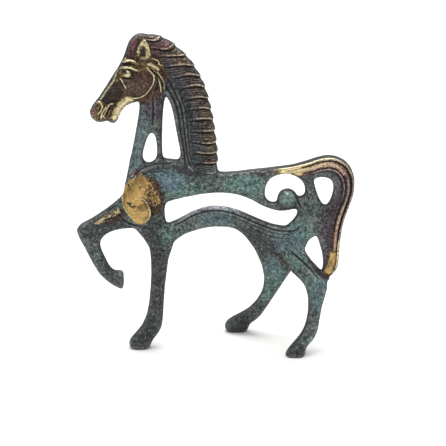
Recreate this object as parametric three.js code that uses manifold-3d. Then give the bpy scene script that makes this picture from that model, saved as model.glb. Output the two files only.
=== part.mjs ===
// Bronze horse statuette: one flat openwork casting that stands on three hooves, a foreleg raised.
// Millimetres, +Z up. The head points to -X and the near side faces -Y.
// Outlines are side views: lists of [x, z] places, with the two edges of a limb paired point by point.
import * as THREE from 'three';
import { mergeVertices } from 'three/addons/utils/BufferGeometryUtils.js';
import Module from 'manifold-3d';

const wasm = await Module();
wasm.setup();

// Thickness of the casting, from its middle plane to a face
const plateHalf = 3.5;
const maneHalf = 3.6;
const muzzleHalf = 3.7;
const tailHalf = 4;
const cheekHalf = 4.9;
const hoofHalf = 4.5;

// Holes: straight near the middle plane, then their rims open out toward both faces
const rimStart = 2;
const rimFlare = 3;
const holeReach = 10.5;

// How far each standing hoof is set out of the middle plane
const foreHoofY = -7;
const nearHoofY = -19;
const farHoofY = 19.5;

// Carving
const lockCount = 14;
const lockRise = 0.8;
const lockReach = 0.6;
const lockSags = [0.5, 0.6, 0.8, 1.1, 0.5, -0.6, -1, -1, -1.3, -1.4, -1.1, -0.2, 1.9, 1.4, 0.8];    // withers to poll
const longLock = 12;
const tailGrooves = [0.24, 0.84];      // places across a band, from its front edge at 0 to its back edge at 1
const crestGrooves = [0.4, 0.7];
const grooveHalf = 0.1;
const grooveFloor = 0.72;

// Fineness of the facets
const limbSides = 10;
const lineSides = 6;
const rowsPerPair = 1.1;

// The ground that the hooves are cut level on
const soleLevel = 0;
const groundSize = [300, 200, 50];

// Reads a value along a limb: a plain number, or numbers spread evenly from its start to its end.
function along(values, t) {
  if (typeof values === 'number') return values;
  const place = t * (values.length - 1);
  const index = Math.min(Math.floor(place), values.length - 2);
  return THREE.MathUtils.lerp(values[index], values[index + 1], place - index);
}

// A smooth line through places in the side view.
function edgeCurve(places) {
  const points = places.map(([x, z]) => new THREE.Vector2(x, z));
  return new THREE.SplineCurve(points);
}

// Turns a closed geometry into a solid for joining and cutting.
function toSolid(geometry) {
  geometry.deleteAttribute('normal');
  geometry.deleteAttribute('uv');
  const welded = mergeVertices(geometry, 1e-4);
  return new wasm.Manifold(new wasm.Mesh({
    numProp: 3,
    vertProperties: welded.attributes.position.array,
    triVerts: Uint32Array.from(welded.index.array),
  }));
}

// Six times the signed volume under a triangle list, negative when the faces point inward.
function signedVolume(points, triangles) {
  let total = 0;
  for (let i = 0; i < triangles.length; i += 3) {
    const [a, b, c] = [points[triangles[i]], points[triangles[i + 1]], points[triangles[i + 2]]];
    total += a.dot(new THREE.Vector3().crossVectors(b, c));
  }
  return total;
}

// Skins a row of rings with equal point counts and closes both ends.
function loft(rings) {
  const count = rings[0].length;
  const points = rings.flat();
  const triangles = [];
  for (let row = 0; row < rings.length - 1; row += 1) {
    for (let k = 0; k < count; k += 1) {
      const a = row * count + k;
      const b = row * count + ((k + 1) % count);
      triangles.push(a, b, a + count, b, b + count, a + count);
    }
  }
  for (const [row, turn] of [[0, -1], [rings.length - 1, 1]]) {
    const middle = points.length;
    const centre = new THREE.Vector3();
    rings[row].forEach((point) => centre.addScaledVector(point, 1 / count));
    points.push(centre);
    for (let k = 0; k < count; k += 1) {
      const pair = [row * count + k, row * count + ((k + 1) % count)];
      if (turn < 0) pair.reverse();
      triangles.push(pair[0], pair[1], middle);
    }
  }
  if (signedVolume(points, triangles) < 0) triangles.reverse();
  const geometry = new THREE.BufferGeometry().setFromPoints(points);
  geometry.setIndex(triangles);
  return toSolid(geometry);
}

// One point of a rounded-square section, across from -1 to 1 and deep from -1 to 1.
function roundedSquare(angle, squareness) {
  const power = 2 / squareness;
  const across = Math.sign(Math.cos(angle)) * Math.abs(Math.cos(angle)) ** power;
  const deep = Math.sign(Math.sin(angle)) * Math.abs(Math.sin(angle)) ** power;
  return [across, deep];
}

// The section of a plain limb.
function plainSection(squareness, sides = limbSides) {
  const section = [];
  for (let k = 0; k < sides; k += 1) {
    section.push(roundedSquare((2 * Math.PI * k) / sides, squareness));
  }
  return section;
}

// The section of a band with grooves running along both of its faces, between raised flutes.
function flutedSection(grooves) {
  const face = [[0.01, 0.86], [0.05, 1]];
  for (const place of grooves) {
    face.push([place - grooveHalf, 1], [place, grooveFloor], [place + grooveHalf, 1]);
  }
  face.push([0.99, 0.9]);
  const near = face.map(([place, deep]) => [2 * place - 1, deep]);
  const far = near.map(([across, deep]) => [across, -deep]).reverse();
  return [...near, ...far];
}

// A limb or band of the casting: sections from its front edge to its back edge.
function limb(front, back, options = {}) {
  const { half = plateHalf, lean = 0, section = plainSection(3), density = rowsPerPair } = options;
  const frontCurve = edgeCurve(front);
  const backCurve = edgeCurve(back);
  const rows = Math.round((front.length - 1) * density);
  const rings = [];
  for (let row = 0; row <= rows; row += 1) {
    const t = row / rows;
    const a = frontCurve.getPoint(t);
    const b = backCurve.getPoint(t);
    rings.push(section.map(([across, deep]) => {
      const point = a.clone().lerp(b, (across + 1) / 2);
      return new THREE.Vector3(point.x, along(lean, t) + deep * along(half, t), point.y);
    }));
  }
  return loft(rings);
}

// A raised line that follows a path and passes through the casting, so that both faces show it.
function raisedLine(places, width, half) {
  const curve = edgeCurve(places);
  const rows = (places.length - 1) * 2;
  const front = [];
  const back = [];
  for (let row = 0; row <= rows; row += 1) {
    const t = row / rows;
    const side = curve.getTangent(t).rotateAround(new THREE.Vector2(), Math.PI / 2);
    const reach = 0.5 * width * (0.35 + 0.65 * Math.sin(Math.PI * t));
    const middle = curve.getPoint(t);
    front.push([middle.x - side.x * reach, middle.y - side.y * reach]);
    back.push([middle.x + side.x * reach, middle.y + side.y * reach]);
  }
  return limb(front, back, { half, section: plainSection(2.2, lineSides), density: 1 });
}

// A smooth swelling through the casting: radii along x, y and z.
function dome([x, z], [radiusX, radiusY, radiusZ], { y = 0, sides = 12 } = {}) {
  const ball = new THREE.SphereGeometry(1, sides, sides / 2);
  ball.scale(radiusX, radiusY, radiusZ);
  ball.translate(x, y, z);
  return toSolid(ball);
}

// A hole through the plate, with its rim opened out toward both faces.
function hole(places) {
  const curve = edgeCurve([...places, places[0]]);
  const outline = curve.getPoints(places.length * 2).slice(0, -1);
  const centre = new THREE.Vector2();
  outline.forEach((point) => centre.addScaledVector(point, 1 / outline.length));
  const levels = [[-holeReach, rimFlare], [-rimStart, 0], [rimStart, 0], [holeReach, rimFlare]];
  return loft(levels.map(([y, flare]) => outline.map((point) => {
    const outward = point.clone().sub(centre).setLength(flare);
    return new THREE.Vector3(point.x + outward.x, y, point.y + outward.y);
  })));
}

function head() {
  return limb(
    [[-63.7, 124.4], [-64.9, 127.7], [-62.7, 131.6], [-58.6, 136.6], [-55.1, 142.3], [-51.1, 148.3],
      [-47.9, 153.4], [-45.8, 158.4], [-44.4, 162.8], [-42.1, 166.1], [-38.6, 167.8]],
    [[-60.5, 122], [-57.3, 122], [-53.8, 123.6], [-48.6, 128.2], [-43, 132], [-36, 134],
      [-31, 141], [-29, 149], [-29, 157], [-31, 163], [-34, 167.2]],
    { half: [3, muzzleHalf, 3.6, 4, 4.4, 4.7, cheekHalf, 4.7, 4.4, 3.9, 3.2] },
  );
}

function jaw() {
  return limb(
    [[-57, 125], [-55.4, 123], [-53, 121.3], [-50.5, 122.3], [-48.9, 126.4], [-46.3, 130.2],
      [-42.8, 133.8]],
    [[-57, 129], [-55.5, 127.5], [-53.8, 126.5], [-52.6, 128], [-51.5, 131], [-49, 134], [-45, 138]],
    { half: [3, 3.6, 3.9, 4, 4.2, 4.4, 4.4] },
  );
}

function neck() {
  return limb(
    [[-46, 146], [-40.6, 136], [-38.8, 131], [-40.1, 123.4], [-41.4, 116], [-43.1, 108.4], [-44.4, 102],
      [-45.6, 97]],
    [[-27, 147], [-24.6, 135.8], [-26.3, 131], [-26.6, 124], [-27.1, 116], [-27.1, 109], [-26.9, 103.5],
      [-27, 97]],
  );
}

function crest() {
  return limb(
    [[-34.5, 146.5], [-29.6, 142], [-24.8, 136], [-22.4, 131], [-20.9, 124], [-19.9, 117.5], [-18.6, 111],
      [-17.8, 106], [-18.3, 102.6], [-20, 97]],
    [[-29, 156], [-21, 146.5], [-16.6, 135], [-15, 130.5], [-14, 123.5], [-13.4, 117], [-12.9, 111],
      [-12.4, 105.5], [-11, 101], [-8, 96]],
    { section: flutedSection(crestGrooves), half: [2.6, 3.8, 3.9, 3.9, 3.9, 3.9, 3.9, 3.9, 3.9, 3.2] },
  );
}

// The mane: locks laid one over another from the withers to the poll. Each juts out at its lower edge and
// thins toward the lock above it. The low and the top ones hang in their outer half, those between arch up.
function mane() {
  const roots = edgeCurve([[-9, 95.5], [-13, 101], [-13.6, 107], [-14.2, 113], [-14.7, 119], [-15.5, 125],
    [-16.8, 131], [-18.6, 137], [-22, 143], [-27, 149], [-31.5, 155], [-34.5, 160], [-37, 164],
    [-38, 167]]);
  const tips = edgeCurve([[1, 95.5], [1.5, 101], [1.4, 107], [0.7, 113], [0, 119], [-1, 125], [-2.3, 131],
    [-3.8, 137], [-5.9, 143], [-8.9, 149], [-12.9, 155], [-18.4, 160.7], [-25.2, 165.7], [-34.2, 168]]);
  const lockProfile = [[0, -lockReach, -lockRise], [0.2, lockReach, 0],
    [0.62, 0.3 * lockReach, -0.3 * lockRise]];
  const rings = [];
  for (let lock = 0; lock < lockCount; lock += 1) {
    for (const [offset, reach, rise] of lockProfile) {
      const t = (lock + offset) / lockCount;
      const root = roots.getPoint(t);
      const tip = tips.getPoint(t);
      const length = tip.distanceTo(root);
      rings.push(plainSection(3.2, 8).map(([across, deep]) => {
        const out = (across + 1) / 2;
        const point = root.clone().lerp(tip, out * (1 + reach / length));
        const sag = along(lockSags, t) * Math.sin(Math.PI * out ** 2) * Math.min(1, length / longLock);
        return new THREE.Vector3(point.x, deep * (maneHalf + rise * out), point.y - sag);
      }));
    }
  }
  return loft(rings);
}

function shoulderAndStandingLeg() {
  return limb(
    [[-44.4, 104.2], [-45.5, 98.5], [-47.2, 91], [-48.7, 84], [-49, 77], [-45, 68], [-39, 60.5],
      [-35.2, 55], [-34.2, 48], [-34.1, 40], [-34.7, 31], [-35.7, 22.5], [-37.7, 15.4], [-41.2, 9.9],
      [-45, 5.9], [-46.6, 3], [-45.2, -0.2], [-44, -2]],
    [[-14, 101.2], [-12, 98], [-14, 90], [-23, 83.2], [-26, 77.3], [-26.1, 71], [-24.2, 63.4],
      [-21.6, 57.6], [-24.5, 48.8], [-25.7, 40.5], [-26.8, 31.5], [-27.4, 22.5], [-28, 14.2], [-29.1, 9.7],
      [-32.2, 6], [-34.2, 2.8], [-35, -0.2], [-35.4, -2]],
    {
      lean: [0, 0, 0, 0, 0, -0.2, -0.4, -0.8, -1.5, -2.4, -3.4, -4.4, -5.3, -5.9, -6.3, -6.8, foreHoofY,
        foreHoofY],
      half: [3.5, 3.5, 3.5, 3.6, 3.7, 3.7, 3.6, 3.6, 3.5, 3.4, 3.4, 3.4, 3.6, 4, 4.4, hoofHalf, hoofHalf,
        4.2],
    },
  );
}

function raisedLeg() {
  return limb(
    [[-44, 91], [-49.4, 82.3], [-55, 77.5], [-61, 73.2], [-67.2, 69.2], [-72.6, 66.4], [-73.2, 62],
      [-70.4, 56.6], [-66.8, 48.7], [-63.2, 41.4], [-58.7, 36.2], [-54.4, 33], [-50, 30.4], [-48.9, 31.6]],
    [[-36, 66], [-44.5, 64.4], [-50.5, 64.2], [-55.4, 62.7], [-58.8, 60.3], [-60.6, 57.8], [-60.8, 55.6],
      [-60.2, 53], [-58.3, 48.4], [-56.1, 43.8], [-53.8, 41.2], [-51.4, 41.3], [-49.3, 41.8],
      [-48.9, 40.8]],
    { half: [3.4, 3.6, 3.7, 3.7, 3.7, 3.6, 3.4, 3.4, 3.3, 3.3, 3.5, 3.7, 3.8, 3.3] },
  );
}

function back() {
  return limb(
    [[-24, 98.3], [-18, 97.8], [-10, 96.6], [0, 95.8], [8, 95.7], [15, 96.5], [21, 97.4], [27, 98],
      [33, 98.5]],
    [[-28, 78.2], [-21, 80.1], [-13, 82.2], [-4, 83.8], [4, 84.1], [10.5, 83.3], [16.5, 81.3], [22, 79],
      [28, 78.4]],
  );
}

function belly() {
  return limb(
    [[-30, 65.5], [-24.4, 67.9], [-18, 70.8], [-11, 74.8], [-4, 77], [3, 77.3], [10, 75.8], [17, 72.9],
      [24, 69.8], [30, 67.5], [36, 66.4]],
    [[-27, 53], [-20.2, 58.4], [-16, 61.6], [-10, 63.6], [-3.5, 65.2], [3.5, 65.7], [9.3, 65], [13.3, 62.7],
      [16.4, 59.3], [19, 55.5], [22.4, 51.5]],
  );
}

// The curl at the end of the back: it drops round the large hole and ends in a ball.
function curl() {
  const sweep = limb(
    [[24, 88], [25.7, 84.5], [26.6, 81.4], [28.7, 79.2], [31.3, 79], [34.5, 80], [39, 81], [43.5, 82.2],
      [47.5, 83.2]],
    [[16, 82.3], [20.6, 79.6], [24.3, 77.4], [28, 76], [32.2, 74.6], [36, 74.1], [39.5, 74.8], [42.4, 75.6],
      [44, 74.4]],
    { half: [3.4, 3.4, 3.4, 3.4, 3.2, 3, 2.9, 2.9, 3] },
  );
  const ball = dome([38.1, 80.5], [5.3, 4.7, 5.6]);
  return sweep.add(ball);
}

function croup() {
  return limb(
    [[38, 97], [40, 92], [41, 88], [42, 84], [43, 80], [43.5, 77], [43.1, 73], [41.2, 70], [37.5, 66.4],
      [30, 61]],
    [[60, 99], [62, 95], [64, 91], [65, 87], [64.6, 83], [64, 79], [63, 75], [63.4, 70], [62, 65],
      [57, 58]],
    { half: 3.4 },
  );
}

// The tail: a fluted outer band over a plain inner one, down to its tip behind the near leg.
function tail() {
  const band = limb(
    [[18, 95.2], [29, 97.4], [40, 98.8], [48, 101], [55, 103.3], [61, 103.9], [66.4, 102.1], [70.3, 98.7],
      [72.6, 93.4], [72.9, 87.5], [71.9, 81.8], [69.8, 75.8], [67.8, 69.4], [66.5, 63], [65.9, 56],
      [65.7, 50], [65.3, 45.6], [64, 42.1], [61.4, 38.6]],
    [[18, 91.5], [31, 93.2], [41, 94.2], [49.5, 95], [55.5, 96.7], [60, 97.1], [63.6, 95.6], [65.8, 92.8],
      [66.8, 89.6], [66.9, 86], [66, 82], [64.2, 77.2], [62.2, 71], [61, 64], [60.6, 56],
      [60.2, 50.4], [59.2, 46], [57.8, 43], [57, 40.6]],
    {
      section: flutedSection(tailGrooves),
      half: [2.7, 3.8, tailHalf, tailHalf, tailHalf, tailHalf, tailHalf, tailHalf, 3.9, 2.6],
      lean: [0, 0, 0, 0, 0, 0, 0, 0, -0.2, -1.4],
    },
  );
  const inner = limb(
    [[50, 99], [57, 98.5], [64, 96.5], [68, 90.5], [68, 84], [66, 79], [63.6, 72], [62.2, 64], [61.9, 56],
      [61.5, 50], [60.6, 45.6], [59, 42]],
    [[46, 90], [52, 88], [56, 88], [58, 86], [58, 82], [57, 76], [54, 70], [51, 61], [52, 55],
      [54, 50], [55.4, 45], [56, 42]],
    { half: [3.3, 3.3, 3.3, 3.3, 3.3, 3.3, 2.6] },
  );
  return band.add(inner);
}

function farHindLeg() {
  return limb(
    [[13.5, 65], [17, 59.5], [20.3, 53.4], [23.1, 47], [25.4, 40.4], [26.3, 32.8], [25.5, 27.3],
      [23.7, 22.4], [20, 16.7], [15.4, 12.8], [10.4, 9.4], [6.6, 6.8], [4.8, 3.6], [6, -1.5]],
    [[50, 66], [50, 59.5], [48, 53], [45, 46], [40, 38], [36.1, 30.6], [33.1, 25.2], [30.3, 20],
      [26.9, 13.5], [23.4, 8.5], [20.6, 6.5], [19.4, 4.8], [18.6, 2.6], [17.6, -1.5]],
    {
      lean: [0, 0, 0.3, 2.4, 5.2, 8.1, 10, 12, 14, 15.6, 16.8, 17.6, 18.8, farHoofY],
      half: [3.5, 3.5, 3.5, 3.5, 3.4, 3.3, 3.3, 3.3, 3.4, 3.8, 4.3, hoofHalf, hoofHalf, 4.4],
    },
  );
}

// The near leg bends out of the plate along a crease and leaves a flat strip of thigh behind it.
function nearHindLeg() {
  const leg = limb(
    [[28, 62], [32.5, 54], [37, 47], [40.5, 41.2], [45.6, 37.4], [48.2, 33], [49.3, 26.8], [48.7, 19.6],
      [47, 14.2], [44.3, 9.9], [40.6, 5.7], [38.4, 3.4], [36.7, 1.4], [37.3, -2]],
    [[46, 62], [44, 54], [46.5, 48.6], [51, 44], [56.2, 40], [60.9, 37], [57.9, 29.6], [55.8, 20.6],
      [54.8, 14.4], [53.2, 9.4], [49.4, 6.1], [47.9, 3.4], [47.8, 1.2], [47.2, -2]],
    {
      lean: [0, -0.5, -1.6, -3.8, -5.4, -6.8, -9, -12, -14, -15.6, -17, -18, -18.8, nearHoofY],
      half: [3.4, 3.5, 3.5, 3.5, 3.5, 3.4, 3.4, 3.4, 3.5, 3.8, 4.2, hoofHalf, hoofHalf, 4.3],
    },
  );
  const thigh = limb(
    [[38, 58], [42, 51], [46.6, 45.4], [51.4, 40.6], [55.6, 36.6]],
    [[50, 59], [47.4, 52.8], [51, 47.4], [56, 42], [61.8, 37.3]],
    { lean: [0, 0, 0, -0.8, -2.6], half: 3.3 },
  );
  return leg.add(thigh);
}

// The carving that stands proud of the head: eye, lids, brow, cheek, nostril and lips.
function face() {
  const cheek = dome([-41, 143.2], [10.3, 5.8, 10.6], { sides: 16 });
  const eye = dome([-44.4, 148], [3.8, 6.3, 3], { sides: 10 });
  const lid = raisedLine([[-48.4, 148.6], [-46.2, 150.6], [-43, 151], [-38.6, 149.4]], 1.5, 6.2);
  const brow = raisedLine([[-46, 153.6], [-44.2, 154.3], [-41.6, 154.4], [-38.6, 153.4]], 1.5, 5.7);
  const nose = raisedLine([[-49.6, 146.2], [-52.4, 142.1], [-55.6, 138], [-58.6, 133.8]], 1.5, 5);
  const nostril = raisedLine([[-62.6, 129.2], [-61, 131.8], [-58.6, 132.8], [-57.3, 130.4],
    [-59, 127.2]], 1.5, 4.7);
  const lips = raisedLine([[-58.4, 124.2], [-57.2, 127.8], [-54.8, 131], [-51.4, 132.4]], 1.4, 4.7);
  const ear = raisedLine([[-35.4, 154.8], [-35.9, 159.6], [-34.8, 165]], 5.6, 5.8);
  return wasm.Manifold.union([cheek, eye, lid, brow, nose, nostril, lips, ear]);
}

// Hollows on both faces of the head: the cup of the ear and the nostril.
function faceHollows() {
  const hollows = [];
  for (const side of [-1, 1]) {
    hollows.push(dome([-35.9, 159.2], [1.1, 1.6, 2.6], { y: side * 6, sides: 8 }));
    hollows.push(dome([-60, 130], [1, 1.4, 1.5], { y: side * 4.6, sides: 8 }));
  }
  return wasm.Manifold.union(hollows);
}

// The raised comma and disc of muscle over the shoulder.
function shoulderMuscle() {
  const comma = limb(
    [[-41.6, 95.8], [-45, 89.6], [-47.2, 84], [-47.6, 79], [-45, 73], [-40, 69]],
    [[-35, 94], [-32.4, 88.7], [-32.6, 84.2], [-37.5, 81.2], [-41, 77.2], [-39, 71]],
    { half: [3.6, 4.6, 4.9, 4.8, 4.6, 4], section: plainSection(2.3) },
  );
  const disc = dome([-38.4, 74.2], [5, 5.4, 7]);
  return comma.add(disc);
}

function neckHole() {
  return hole([[-32.8, 117], [-35.1, 114], [-36.9, 108.2], [-37.8, 103.5], [-36, 100.2], [-32, 101],
    [-30.1, 104.3], [-30.1, 109.8], [-30.9, 115.2]]);
}

// The large hole that the curl hangs in.
function curlHole() {
  return hole([[25.9, 84], [26.6, 88.2], [29, 92.2], [33.4, 94.3], [38, 94.6], [42.2, 93.3], [45.4, 91],
    [47.1, 87.8], [47.4, 84.6], [46.6, 82.2], [42, 79], [36, 77.5], [30, 78], [26.7, 80.2]]);
}

function tailHole() {
  return hole([[51.3, 91.6], [52.7, 86.5], [54, 82.4], [55.7, 79.2], [57.2, 77.3], [58.8, 77.4],
    [60.4, 79.6], [61.6, 83.1], [62.2, 86.6], [62, 89.4], [60.4, 91.9], [57.4, 92.9], [53.8, 92.8]]);
}

function hockHole() {
  return hole([[53.6, 61.4], [51.2, 59.9], [48.8, 56.6], [46.9, 53.2], [47.8, 50.8], [50.6, 47.6],
    [53.8, 43.6], [56, 41.8], [57.4, 43], [57.5, 46.6], [56.8, 51.6], [55.5, 56.2], [54.4, 60]]);
}

// Everything below the level of the soles.
function ground() {
  const block = new THREE.BoxGeometry(...groundSize);
  block.translate(0, 0, soleLevel - groundSize[2] / 2);
  return toSolid(block);
}

function casting() {
  const plate = wasm.Manifold.union([
    head(), jaw(), neck(), crest(), mane(), shoulderAndStandingLeg(), raisedLeg(), back(), belly(),
    croup(), tail(), farHindLeg(), face(), shoulderMuscle(),
  ]);
  const holes = wasm.Manifold.union([neckHole(), curlHole(), tailHole(), hockHole(), faceHollows()]);
  return plate.subtract(holes).add(curl()).add(nearHindLeg()).subtract(ground());
}

// Puts the middle of the footprint box at the origin.
function toGeometry(solid) {
  const mesh = solid.getMesh();
  const geometry = new THREE.BufferGeometry();
  geometry.setAttribute('position', new THREE.BufferAttribute(mesh.vertProperties, 3));
  geometry.setIndex(new THREE.BufferAttribute(mesh.triVerts, 1));
  geometry.computeBoundingBox();
  const middle = geometry.boundingBox.getCenter(new THREE.Vector3());
  geometry.translate(-middle.x, -middle.y, 0);
  geometry.computeVertexNormals();
  return geometry;
}

const bronze = new THREE.MeshStandardMaterial({ color: '#5c6059', roughness: 0.55, metalness: 0.9 });
const horse = new THREE.Mesh(toGeometry(casting()), bronze);
horse.name = 'horse';

const statuette = new THREE.Group();
statuette.add(horse);

export default statuette;
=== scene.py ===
import math

import bmesh
import bpy
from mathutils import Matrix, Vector


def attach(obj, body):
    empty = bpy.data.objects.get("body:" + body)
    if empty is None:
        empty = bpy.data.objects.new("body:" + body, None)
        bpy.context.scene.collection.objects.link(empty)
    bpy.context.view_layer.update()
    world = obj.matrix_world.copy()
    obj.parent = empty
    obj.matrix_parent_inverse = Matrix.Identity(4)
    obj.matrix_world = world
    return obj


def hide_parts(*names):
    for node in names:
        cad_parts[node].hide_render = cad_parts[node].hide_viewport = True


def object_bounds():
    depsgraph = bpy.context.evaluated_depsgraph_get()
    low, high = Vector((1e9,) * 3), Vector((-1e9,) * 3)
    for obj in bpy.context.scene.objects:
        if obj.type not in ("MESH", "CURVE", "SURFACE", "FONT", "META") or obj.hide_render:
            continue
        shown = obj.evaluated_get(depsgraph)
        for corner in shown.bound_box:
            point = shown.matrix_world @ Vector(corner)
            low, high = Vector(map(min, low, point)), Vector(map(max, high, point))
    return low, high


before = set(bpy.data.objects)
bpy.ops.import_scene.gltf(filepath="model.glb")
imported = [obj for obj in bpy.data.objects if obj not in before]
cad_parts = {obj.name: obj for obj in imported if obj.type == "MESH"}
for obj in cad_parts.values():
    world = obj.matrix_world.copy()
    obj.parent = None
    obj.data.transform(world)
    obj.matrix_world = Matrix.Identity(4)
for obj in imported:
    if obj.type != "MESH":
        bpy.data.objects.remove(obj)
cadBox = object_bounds()
scene = bpy.context.scene
mm = 0.001      # sizes and places below are written in millimetres


def toLinear(hexColour):
    parts = [int(hexColour[i:i + 2], 16) / 255 for i in (1, 3, 5)]
    return [p / 12.92 if p <= 0.04045 else ((p + 0.055) / 1.055) ** 2.4 for p in parts] + [1]


# adds one node with its settings; an input is a value, or the socket that feeds it
def addNode(tree, kind, settings=None, inputs=None):
    node = tree.nodes.new(kind)
    for name, value in (settings or {}).items():
        setattr(node, name, value)
    for socket, value in (inputs or {}).items():
        if isinstance(value, bpy.types.NodeSocket):
            tree.links.new(value, node.inputs[socket])
        else:
            node.inputs[socket].default_value = value
    return node


# places on a smooth line through side-view places, t from 0 to 1
def curvePoint(places, t):
    spot = t * (len(places) - 1)
    k = min(int(spot), len(places) - 2)
    w = spot - k
    a, b, c, d = (places[min(max(k + i, 0), len(places) - 1)] for i in (-1, 0, 1, 2))
    point = []
    for i in (0, 1):
        v0, v1 = (c[i] - a[i]) / 2, (d[i] - b[i]) / 2
        point.append((2 * b[i] - 2 * c[i] + v0 + v1) * w ** 3
                     + (-3 * b[i] + 3 * c[i] - 2 * v0 - v1) * w ** 2 + v0 * w + b[i])
    return point


def smoothLine(places, steps=6):
    count = (len(places) - 1) * steps
    return [curvePoint(places, k / count) for k in range(count + 1)]


# a place between the front and the back edge of a band, share 0 at the front
def between(front, back, t, share):
    a, b = curvePoint(front, t), curvePoint(back, t)
    return [a[0] + (b[0] - a[0]) * share, a[1] + (b[1] - a[1]) * share]


# a line along a band; a pair of shares lets it drift from the one to the other
def bandLine(band, share, start=0.0, end=1.0, steps=60):
    first, last = share if isinstance(share, tuple) else (share, share)
    spots = [k / steps for k in range(steps + 1)]
    return [between(*band, start + (end - start) * s, first + (last - first) * s) for s in spots]


def bandArea(band, shares, start=0.0, end=1.0):
    return bandLine(band, shares[0], start, end) + bandLine(band, shares[1], start, end)[::-1]


# the three bands that the carving follows, front edge then back edge
tailBand = (
    [[18, 95.2], [29, 97.4], [40, 98.8], [48, 101], [55, 103.3], [61, 103.9], [66.4, 102.1], [70.3, 98.7],
     [72.6, 93.4], [72.9, 87.5], [71.9, 81.8], [69.8, 75.8], [67.8, 69.4], [66.5, 63], [65.9, 56],
     [65.7, 50], [65.3, 45.6], [64, 42.1], [61.4, 38.6]],
    [[18, 91.5], [31, 93.2], [41, 94.2], [49.5, 95], [55.5, 96.7], [60, 97.1], [63.6, 95.6], [65.8, 92.8],
     [66.8, 89.6], [66.9, 86], [66, 82], [64.2, 77.2], [62.2, 71], [61, 64], [60.6, 56],
     [60.2, 50.4], [59.2, 46], [57.8, 43], [57, 40.6]],
)
crestBand = (
    [[-34.5, 146.5], [-29.6, 142], [-24.8, 136], [-22.4, 131], [-20.9, 124], [-19.9, 117.5],
     [-18.6, 111], [-17.8, 106], [-18.3, 102.6], [-20, 97]],
    [[-29, 156], [-21, 146.5], [-16.6, 135], [-15, 130.5], [-14, 123.5], [-13.4, 117],
     [-12.9, 111], [-12.4, 105.5], [-11, 101], [-8, 96]],
)
maneBand = (
    [[-9, 95.5], [-13, 101], [-13.6, 107], [-14.2, 113], [-14.7, 119], [-15.5, 125], [-16.8, 131],
     [-18.6, 137], [-22, 143], [-27, 149], [-31.5, 155], [-34.5, 160], [-37, 164], [-38, 167]],
    [[1, 95.5], [1.5, 101], [1.4, 107], [0.7, 113], [0, 119], [-1, 125], [-2.3, 131], [-3.8, 137],
     [-5.9, 143], [-8.9, 149], [-12.9, 155], [-18.4, 160.7], [-25.2, 165.7], [-34.2, 168]],
)

maneLocks = {
    "count": 14,
    "longLock": 12,                 # a shorter lock sags less
    "linePlaces": 12,               # steps along each carved line
    "ridgeOffset": 0.17,            # where the ridge runs, as a share of the lock
    "uneven": 0.12,                 # how much the ridges differ from each other
    "sideways": 0.3,                # the share of it that goes across the lock
    "shiftStep": 1.7, "startStep": 2.3,     # fixed, so that each run makes the same ridges
    "strands": 4,
    "strandFirst": 0.36, "strandSpread": 0.62, "strandStart": 0.06, "strandStep": 0.05, "strandEnd": 0.93,
    "wave": 0.25,
    # how far the line hangs, from the withers to the poll, as in the solid
    "sags": [0.5, 0.6, 0.8, 1.1, 0.5, -0.6, -1, -1, -1.3, -1.4, -1.1, -0.2, 1.9, 1.4, 0.8],
}


# a value read from a row of values spread evenly, t from 0 to 1
def along(values, t):
    spot = t * (len(values) - 1)
    k = min(int(spot), len(values) - 2)
    return values[k] + (values[k + 1] - values[k]) * (spot - k)


# a line across one lock, from its root to its tip: the low and the top locks hang, those between arch up
def lockLine(lock, offset, start, end, wave=0.0):
    t = min((lock + offset) / maneLocks["count"], 1)
    root, tip = curvePoint(maneBand[0], t), curvePoint(maneBand[1], t)
    reach = min(1, math.dist(root, tip) / maneLocks["longLock"])
    line = []
    for k in range(maneLocks["linePlaces"] + 1):
        out = start + (end - start) * k / maneLocks["linePlaces"]
        sag = along(maneLocks["sags"], t) * math.sin(math.pi * out ** 2) * reach
        x = root[0] + (tip[0] - root[0]) * out
        z = root[1] + (tip[1] - root[1]) * out - sag + wave * math.sin(2 * math.pi * out + lock)
        line.append([x, z])
    return line


# one ridge along each lock, no two quite alike
def lockRidges(offset, start, end):
    lines, uneven = [], maneLocks["uneven"]
    for lock in range(maneLocks["count"]):
        shift = maneLocks["sideways"] * uneven * math.sin(maneLocks["shiftStep"] * lock)
        later = uneven * math.sin(maneLocks["startStep"] * lock)
        lines.append(lockLine(lock, offset + shift, start + later, end))
    return lines


def lockStrands():
    lines = []
    for lock in range(maneLocks["count"]):
        for k in range(maneLocks["strands"]):
            offset = maneLocks["strandFirst"] + maneLocks["strandSpread"] * k / (maneLocks["strands"] - 1)
            start = maneLocks["strandStart"] + maneLocks["strandStep"] * (k % 2)
            lines.append(lockLine(lock, offset, start, maneLocks["strandEnd"], maneLocks["wave"]))
    return lines


# short strokes that leave a middle like the hairs of a brush, with uneven ends
def brushStreaks(x, z, inner, outer, first, last, count, uneven=1.6, unevenStep=5.1):
    lines = []
    for k in range(count):
        angle = math.radians(first + (last - first) * k / (count - 1))
        far = outer + uneven * math.sin(unevenStep * k)
        reaches = (inner, (inner + far) / 2, far)
        lines.append([[x + r * math.cos(angle), z + r * math.sin(angle)] for r in reaches])
    return lines


# a disc of places round a middle
def roundPlaces(x, z, radius, count=16):
    angles = [k * math.pi / (count / 2) for k in range(count)]
    return [[x + radius * math.cos(angle), z + radius * math.sin(angle)] for angle in angles]


# the lower edge of the long opening, which the grooves of the belly follow
bellyTop = [[-24.4, 67.9], [-18, 70.8], [-11, 74.8], [-4, 77], [3, 77.3], [10, 75.8], [17, 72.9],
            [24, 69.8], [30, 67.5], [36, 66.4], [42, 66.6], [45.6, 69.4]]


def bellyLine(drop, start, end):
    return [[x, z - drop] for x, z in smoothLine(bellyTop) if start <= x <= end]


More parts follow.
